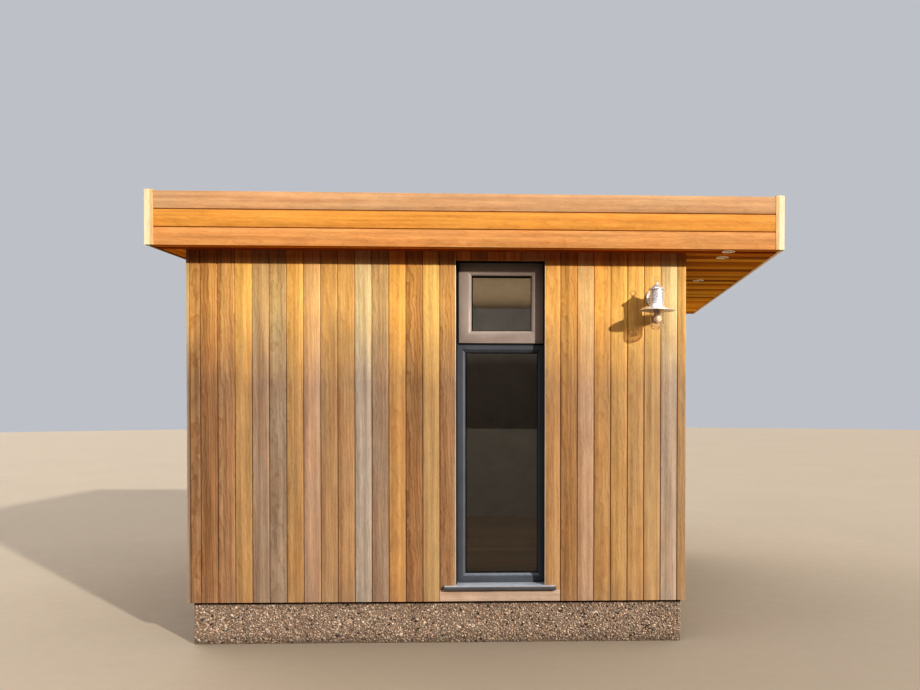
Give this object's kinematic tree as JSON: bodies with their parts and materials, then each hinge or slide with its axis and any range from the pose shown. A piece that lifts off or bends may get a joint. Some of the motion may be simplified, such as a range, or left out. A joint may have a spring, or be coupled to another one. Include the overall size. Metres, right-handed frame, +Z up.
{
  "type": "garden office pod",
  "caption": "Flat-roofed cedar-clad garden office on a pebble-dashed plinth, with a deep canopy, a tall grey window, glazed doors and a galvanised wall lantern.",
  "frame": {"origin": "centre of the plinth footprint, on the ground", "axes": "+Z up; +X towards the canopy and door side; -Y towards the side with the tall window"},
  "size_m": [4.029, 4.089, 2.912],
  "materials": {
    "plinth": "pebble-dashed render, rough",
    "concrete": "rough concrete",
    "carcass_timber": "sawn softwood",
    "floor_timber": "satin floor boards",
    "plaster": "painted plasterboard, matt",
    "cedar": "planed western red cedar, part weathered",
    "cedar_soffit": "planed western red cedar, unweathered",
    "membrane": "matt black roofing rubber",
    "frame_grey": "anthracite satin powder coat",
    "glazing": "clear double glazing",
    "threshold_metal": "satin",
    "handle_metal": "brushed",
    "galvanised": "hot-dip galvanised, spangled",
    "jar_glass": "clear",
    "lamp": "opal lamp on a white holder",
    "bezel_metal": "bright bezel and lens"
  },
  "bodies": {
    "root": {"plinth_side_walls": "plinth", "plinth_end_walls": "plinth", "oversite_slab": "concrete", "floor_frame": "carcass_timber", "floor_boards": "floor_timber", "window_wall_frame_sides": "carcass_timber", "window_wall_frame_head_and_base": "carcass_timber", "door_wall_frame_sides": "carcass_timber", "door_wall_frame_head_and_base": "carcass_timber", "far_wall_frame": "carcass_timber", "rear_wall_frame": "carcass_timber", "wall_lining": "plaster", "ceiling_lining": "plaster", "cladding_battens": "carcass_timber", "window_wall_cladding_sides": "cedar", "window_wall_cladding_head": "cedar", "door_wall_cladding_sides": "cedar", "door_wall_cladding_head": "cedar", "far_wall_cladding": "cedar", "rear_wall_cladding": "cedar", "apron_boards": "cedar", "reveal_linings": "frame_grey", "side_fascias": "cedar", "front_fascia": "cedar", "rear_fascia": "cedar", "fascia_corner_posts": "cedar", "canopy_soffit": "cedar_soffit", "eaves_soffit": "cedar_soffit", "roof_panel": "carcass_timber", "roof_membrane": "membrane", "roof_kerbs": "membrane", "window_frame": "frame_grey", "window_sash": "frame_grey", "window_glass": "glazing", "window_sill": "frame_grey", "door_frame": "frame_grey", "door_leaves": "frame_grey", "door_glass": "glazing", "door_threshold": "threshold_metal", "door_handles": "handle_metal", "lantern_bracket": "galvanised", "lantern_hood": "galvanised", "lantern_jar": "jar_glass", "lantern_lamp": "lamp", "canopy_downlights": "bezel_metal"}
  },
  "joints": []
}
